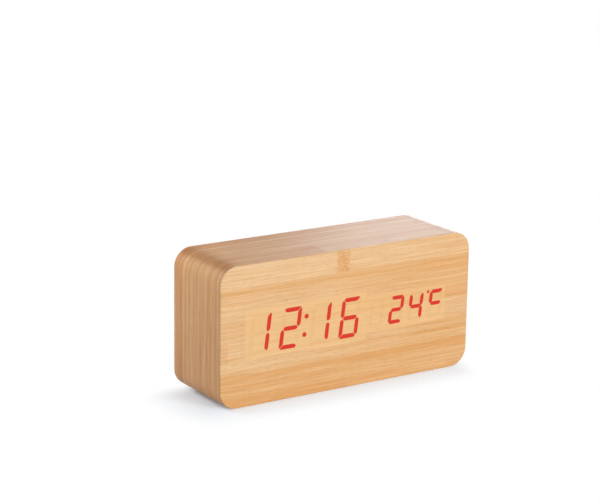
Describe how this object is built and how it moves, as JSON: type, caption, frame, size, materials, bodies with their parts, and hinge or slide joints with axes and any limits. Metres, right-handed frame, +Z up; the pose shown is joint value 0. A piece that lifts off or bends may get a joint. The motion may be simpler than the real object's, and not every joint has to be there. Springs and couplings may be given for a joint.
{
  "type": "calendar clock",
  "caption": "Rounded wood-look desk clock: bamboo veneer over a routed block, seven-segment LED figures shining through the front, rear panel with battery door, push buttons and power jack.",
  "frame": {"origin": "on the table, under the middle of the case", "axes": "+X to the right seen from the front, +Y to the back, +Z up"},
  "size_m": [0.15, 0.045, 0.072],
  "materials": {
    "front_bamboo": "satin varnish",
    "side_bamboo": "satin varnish",
    "fibreboard": "raw sawn",
    "black_plastic": "fine spark-eroded texture",
    "button_plastic": "satin",
    "white_plastic": "moulded",
    "led_resin": "milky, lit red",
    "circuit_board": "solder mask",
    "screw_steel": "zinc plated",
    "nickel_plate": "nickel plated",
    "can_aluminium": "drawn can",
    "cell_jacket": "printed film",
    "red_insulation": "soft PVC",
    "black_insulation": "soft PVC",
    "grey_insulation": "soft PVC",
    "sensor_epoxy": "dipped"
  },
  "bodies": {
    "case": {"case_core": "fibreboard", "front_veneer": "front_bamboo", "side_wrap": "side_bamboo", "rear_veneer": "side_bamboo", "display_board": "circuit_board", "time_display_shell": "white_plastic", "date_display_shell": "white_plastic", "time_display_resin": "led_resin", "date_display_resin": "led_resin", "display_screw_1": "screw_steel", "display_screw_2": "screw_steel", "display_screw_3": "screw_steel", "display_screw_4": "screw_steel", "controller_chip": "black_plastic", "timing_crystal": "can_aluminium", "supply_capacitor": "can_aluminium", "display_socket": "white_plastic", "rear_panel": "black_plastic", "panel_screw_1": "screw_steel", "panel_screw_2": "screw_steel", "panel_screw_3": "screw_steel", "panel_screw_4": "screw_steel", "battery_cell_1": "cell_jacket", "battery_cell_2": "cell_jacket", "battery_cell_3": "cell_jacket", "battery_cell_4": "cell_jacket", "positive_contact": "nickel_plate", "negative_contact": "nickel_plate", "bridge_contact_1": "nickel_plate", "bridge_contact_2": "nickel_plate", "bridge_contact_3": "nickel_plate", "positive_lead": "red_insulation", "negative_lead": "black_insulation", "control_board": "circuit_board", "board_screw_1": "screw_steel", "board_screw_2": "screw_steel", "set_switch": "black_plastic", "up_switch": "black_plastic", "down_switch": "black_plastic", "power_jack": "black_plastic", "power_jack_pin": "nickel_plate", "alarm_buzzer": "black_plastic", "temperature_sensor": "sensor_epoxy", "control_socket": "white_plastic", "ribbon_cable": "grey_insulation"},
    "door": {"battery_door": "black_plastic"},
    "set_key": {"set_button": "button_plastic", "set_stem": "black_plastic"},
    "up_key": {"up_button": "button_plastic", "up_stem": "black_plastic"},
    "down_key": {"down_button": "button_plastic", "down_stem": "black_plastic"}
  },
  "joints": [
    {"name": "battery_door_tilt", "type": "hinge", "parent": "case", "child": "door", "pos_m": [0.0587, 0.0215, 0.036], "axis": [0, 0, -1], "range_deg": [0, 75]},
    {"name": "set_button_press", "type": "slide", "parent": "case", "child": "set_key", "axis": [0, -1, 0], "range_m": [0, 0.0005], "stiffness_N_per_m": 1200},
    {"name": "up_button_press", "type": "slide", "parent": "case", "child": "up_key", "axis": [0, -1, 0], "range_m": [0, 0.0005], "stiffness_N_per_m": 1200},
    {"name": "down_button_press", "type": "slide", "parent": "case", "child": "down_key", "axis": [0, -1, 0], "range_m": [0, 0.0005], "stiffness_N_per_m": 1200}
  ]
}
